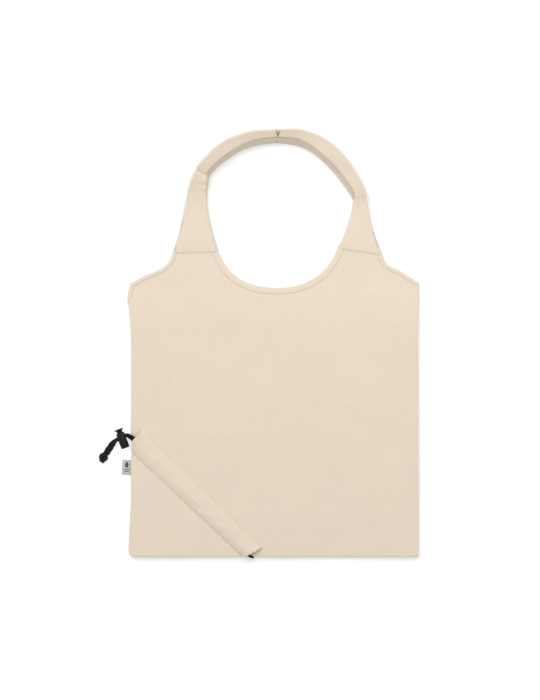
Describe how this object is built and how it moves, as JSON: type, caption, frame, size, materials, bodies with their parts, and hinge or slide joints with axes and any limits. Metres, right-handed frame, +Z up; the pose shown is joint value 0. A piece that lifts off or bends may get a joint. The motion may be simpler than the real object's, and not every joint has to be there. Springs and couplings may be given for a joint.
{
  "type": "foldable tote bag",
  "caption": "Flat cotton shopping bag with vest-shaped loop handles, a drawcord casing across its bottom corner that makes a stuff pouch, a spring cord lock and a side label.",
  "frame": {"origin": "on the ground under the middle of the back panel, 200 mm above the bottom seam, where the back panel's outer face lies", "axes": "+X towards the side seam that has no label, +Y from the bottom seam towards the handles, +Z up, out of the front panel"},
  "size_m": [0.4472, 0.5982, 0.0239],
  "materials": {
    "cotton": "plain-woven natural cotton, unbleached",
    "tack_thread": "dense sewing thread",
    "drawcord": "braided polyester cord, black",
    "lock_plastic": "satin moulded plastic, black",
    "spring_steel": "drawn spring wire",
    "label": "woven ribbon label, light grey"
  },
  "bodies": {
    "bag_back": {"back_panel": "cotton", "left_side_seam": "cotton", "right_side_seam": "cotton", "bottom_seam": "cotton", "back_casing": "cotton", "drawcord_in_back_casing": "drawcord", "drawcord_bottom_turn": "drawcord"},
    "bag_front": {"front_panel": "cotton", "front_casing": "cotton", "drawcord_in_front_casing": "drawcord"},
    "front_handle": {"front_left_strap": "cotton", "front_right_strap": "cotton", "front_handle_tack": "tack_thread"},
    "back_handle": {"back_left_strap": "cotton", "back_right_strap": "cotton", "back_handle_tack": "tack_thread"},
    "drawcord_ends": {"front_strand": "drawcord", "back_strand": "drawcord", "cord_knot": "drawcord"},
    "cord_lock": {"cord_lock_barrel": "lock_plastic", "cord_lock_spring": "spring_steel"},
    "lock_plunger": {"cord_lock_plunger": "lock_plastic"},
    "label": {"side_label": "label"}
  },
  "joints": [
    {"name": "mouth_open", "type": "hinge", "parent": "bag_back", "child": "bag_front", "pos_m": [0, -0.2, 0.009], "axis": [1, 0, 0], "range_deg": [0, 8]},
    {"name": "front_handle_fold", "type": "hinge", "parent": "bag_front", "child": "front_handle", "pos_m": [0, 0.223, 0.02], "axis": [1, 0, 0], "range_deg": [0, 170]},
    {"name": "back_handle_fold", "type": "hinge", "parent": "bag_back", "child": "back_handle", "pos_m": [0, 0.223, 0.02], "axis": [1, 0, 0], "range_deg": [0, 85]},
    {"name": "drawcord_pull", "type": "slide", "parent": "bag_back", "child": "drawcord_ends", "axis": [-0.9342, -0.3567, 0], "range_m": [0, 0.025], "deforming": ["front_strand", "back_strand"]},
    {"name": "cord_lock_slide", "type": "slide", "parent": "drawcord_ends", "child": "cord_lock", "axis": [-0.9342, -0.3567, 0], "range_m": [0, 0.005]},
    {"name": "plunger_press", "type": "slide", "parent": "cord_lock", "child": "lock_plunger", "axis": [0.3567, -0.9342, 0], "range_m": [0, 0.003], "stiffness_N_per_m": 1500, "springref_m": -0.002, "deforming": ["cord_lock_spring"]},
    {"name": "label_flip", "type": "hinge", "parent": "bag_back", "child": "label", "pos_m": [-0.2006, -0.076, 0.0047], "axis": [0, 1, 0], "range_deg": [0, 90]}
  ],
  "couplings": [
    {"joint": "back_handle_fold", "follows": "front_handle_fold", "ratio": 0.5}
  ]
}
